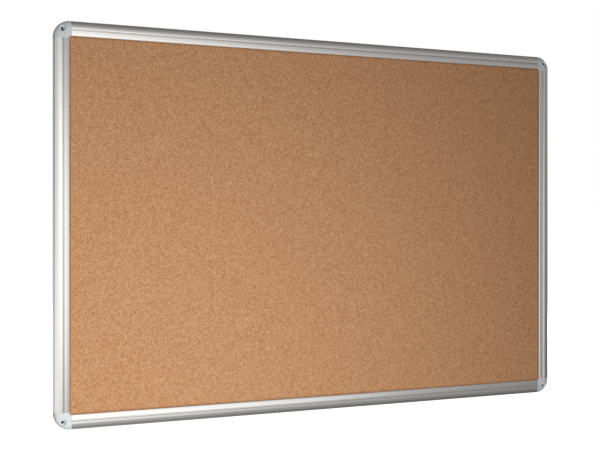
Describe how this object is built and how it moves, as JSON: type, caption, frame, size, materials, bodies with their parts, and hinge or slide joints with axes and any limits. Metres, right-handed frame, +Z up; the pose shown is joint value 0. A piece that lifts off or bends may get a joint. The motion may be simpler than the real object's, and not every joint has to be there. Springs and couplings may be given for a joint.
{
  "type": "cork bulletin board",
  "caption": "Rectangular framed cork bulletin board for pinning notices, with an extruded aluminium frame, moulded corners and wall screw holes.",
  "frame": {"origin": "centre of the rear plane, midway between the four wall screw holes, on the surface of the wall", "axes": "+X along the width, to the right as the cork is faced; +Z up; +Y into the wall, so the cork faces -Y"},
  "size_m": [0.9, 0.016, 0.6],
  "materials": {
    "cork": "matte",
    "softboard": "matte",
    "kraft_board": "matte",
    "anodised_aluminium": "satin",
    "corner_plastic": "matte",
    "zinc_plated_steel": "satin"
  },
  "bodies": {
    "root": {"cork_sheet": "cork", "softboard_core": "softboard", "rear_liner": "kraft_board", "top_rail": "anodised_aluminium", "bottom_rail": "anodised_aluminium", "left_rail": "anodised_aluminium", "right_rail": "anodised_aluminium", "top_left_corner": "corner_plastic", "top_right_corner": "corner_plastic", "bottom_left_corner": "corner_plastic", "bottom_right_corner": "corner_plastic", "top_left_screws": "zinc_plated_steel", "top_right_screws": "zinc_plated_steel", "bottom_left_screws": "zinc_plated_steel", "bottom_right_screws": "zinc_plated_steel"}
  },
  "joints": []
}
